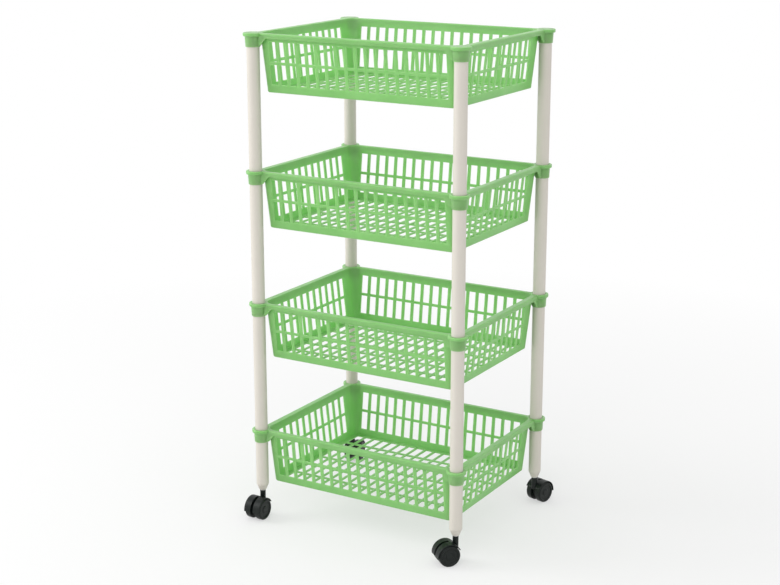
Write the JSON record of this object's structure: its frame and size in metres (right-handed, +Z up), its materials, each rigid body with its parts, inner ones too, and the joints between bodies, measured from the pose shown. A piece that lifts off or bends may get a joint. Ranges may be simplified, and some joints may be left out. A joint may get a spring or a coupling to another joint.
{
  "type": "rolling storage cart",
  "caption": "Rolling storage cart: slotted plastic baskets stacked in tiers on round corner tubes, with hooded swivel casters under the legs.",
  "frame": {"origin": "on the floor, under the middle of the cart's outer box", "axes": "+Z up, +X along the long side of the baskets, +Y towards the back"},
  "size_m": [0.4, 0.3433, 0.779],
  "materials": {
    "basket_green": "satin moulded polypropylene, slightly translucent",
    "tube_cream": "satin extruded plastic tube",
    "insert_cream": "satin moulded plastic",
    "caster_black": "satin black moulded plastic",
    "wheel_black": "satin black hard plastic",
    "steel": "bright zinc-plated steel"
  },
  "bodies": {
    "cart": {"basket_1": "basket_green", "basket_2": "basket_green", "basket_3": "basket_green", "basket_4": "basket_green", "top_cap_front_left": "basket_green", "top_cap_front_right": "basket_green", "top_cap_back_left": "basket_green", "top_cap_back_right": "basket_green", "upright_1_front_left": "tube_cream", "upright_1_front_right": "tube_cream", "upright_1_back_left": "tube_cream", "upright_1_back_right": "tube_cream", "upright_2_front_left": "tube_cream", "upright_2_front_right": "tube_cream", "upright_2_back_left": "tube_cream", "upright_2_back_right": "tube_cream", "upright_3_front_left": "tube_cream", "upright_3_front_right": "tube_cream", "upright_3_back_left": "tube_cream", "upright_3_back_right": "tube_cream", "leg_front_left": "tube_cream", "leg_insert_front_left": "insert_cream", "caster_stem_front_left": "steel", "leg_front_right": "tube_cream", "leg_insert_front_right": "insert_cream", "caster_stem_front_right": "steel", "leg_back_left": "tube_cream", "leg_insert_back_left": "insert_cream", "caster_stem_back_left": "steel", "leg_back_right": "tube_cream", "leg_insert_back_right": "insert_cream", "caster_stem_back_right": "steel"},
    "caster_front_left": {"caster_hood_front_left": "caster_black", "caster_axle_front_left": "steel"},
    "wheel_front_left_a": {"caster_wheel_front_left_a": "wheel_black"},
    "wheel_front_left_b": {"caster_wheel_front_left_b": "wheel_black"},
    "caster_front_right": {"caster_hood_front_right": "caster_black", "caster_axle_front_right": "steel"},
    "wheel_front_right_a": {"caster_wheel_front_right_a": "wheel_black"},
    "wheel_front_right_b": {"caster_wheel_front_right_b": "wheel_black"},
    "caster_back_left": {"caster_hood_back_left": "caster_black", "caster_axle_back_left": "steel"},
    "wheel_back_left_a": {"caster_wheel_back_left_a": "wheel_black"},
    "wheel_back_left_b": {"caster_wheel_back_left_b": "wheel_black"},
    "caster_back_right": {"caster_hood_back_right": "caster_black", "caster_axle_back_right": "steel"},
    "wheel_back_right_a": {"caster_wheel_back_right_a": "wheel_black"},
    "wheel_back_right_b": {"caster_wheel_back_right_b": "wheel_black"}
  },
  "joints": [
    {"name": "swivel_front_left", "type": "hinge", "parent": "cart", "child": "caster_front_left", "pos_m": [-0.1775, -0.1365, 0.044], "axis": [0, 0, 1], "continuous": true},
    {"name": "roll_front_left_a", "type": "hinge", "parent": "caster_front_left", "child": "wheel_front_left_a", "pos_m": [-0.1775, -0.1505, 0.017], "axis": [1, 0, 0], "continuous": true},
    {"name": "roll_front_left_b", "type": "hinge", "parent": "caster_front_left", "child": "wheel_front_left_b", "pos_m": [-0.1775, -0.1505, 0.017], "axis": [1, 0, 0], "continuous": true},
    {"name": "swivel_front_right", "type": "hinge", "parent": "cart", "child": "caster_front_right", "pos_m": [0.1775, -0.1365, 0.044], "axis": [0, 0, 1], "continuous": true},
    {"name": "roll_front_right_a", "type": "hinge", "parent": "caster_front_right", "child": "wheel_front_right_a", "pos_m": [0.1685, -0.14722, 0.017], "axis": [0.766, -0.6428, 0], "continuous": true},
    {"name": "roll_front_right_b", "type": "hinge", "parent": "caster_front_right", "child": "wheel_front_right_b", "pos_m": [0.1685, -0.14722, 0.017], "axis": [0.766, -0.6428, 0], "continuous": true},
    {"name": "swivel_back_left", "type": "hinge", "parent": "cart", "child": "caster_back_left", "pos_m": [-0.1775, 0.1365, 0.044], "axis": [0, 0, 1], "continuous": true},
    {"name": "roll_back_left_a", "type": "hinge", "parent": "caster_back_left", "child": "wheel_back_left_a", "pos_m": [-0.18112, 0.15002, 0.017], "axis": [-0.9659, -0.2588, 0], "continuous": true},
    {"name": "roll_back_left_b", "type": "hinge", "parent": "caster_back_left", "child": "wheel_back_left_b", "pos_m": [-0.18112, 0.15002, 0.017], "axis": [-0.9659, -0.2588, 0], "continuous": true},
    {"name": "swivel_back_right", "type": "hinge", "parent": "cart", "child": "caster_back_right", "pos_m": [0.1775, 0.1365, 0.044], "axis": [0, 0, 1], "continuous": true},
    {"name": "roll_back_right_a", "type": "hinge", "parent": "caster_back_right", "child": "wheel_back_right_a", "pos_m": [0.18112, 0.15002, 0.017], "axis": [-0.9659, 0.2588, 0], "continuous": true},
    {"name": "roll_back_right_b", "type": "hinge", "parent": "caster_back_right", "child": "wheel_back_right_b", "pos_m": [0.18112, 0.15002, 0.017], "axis": [-0.9659, 0.2588, 0], "continuous": true}
  ]
}
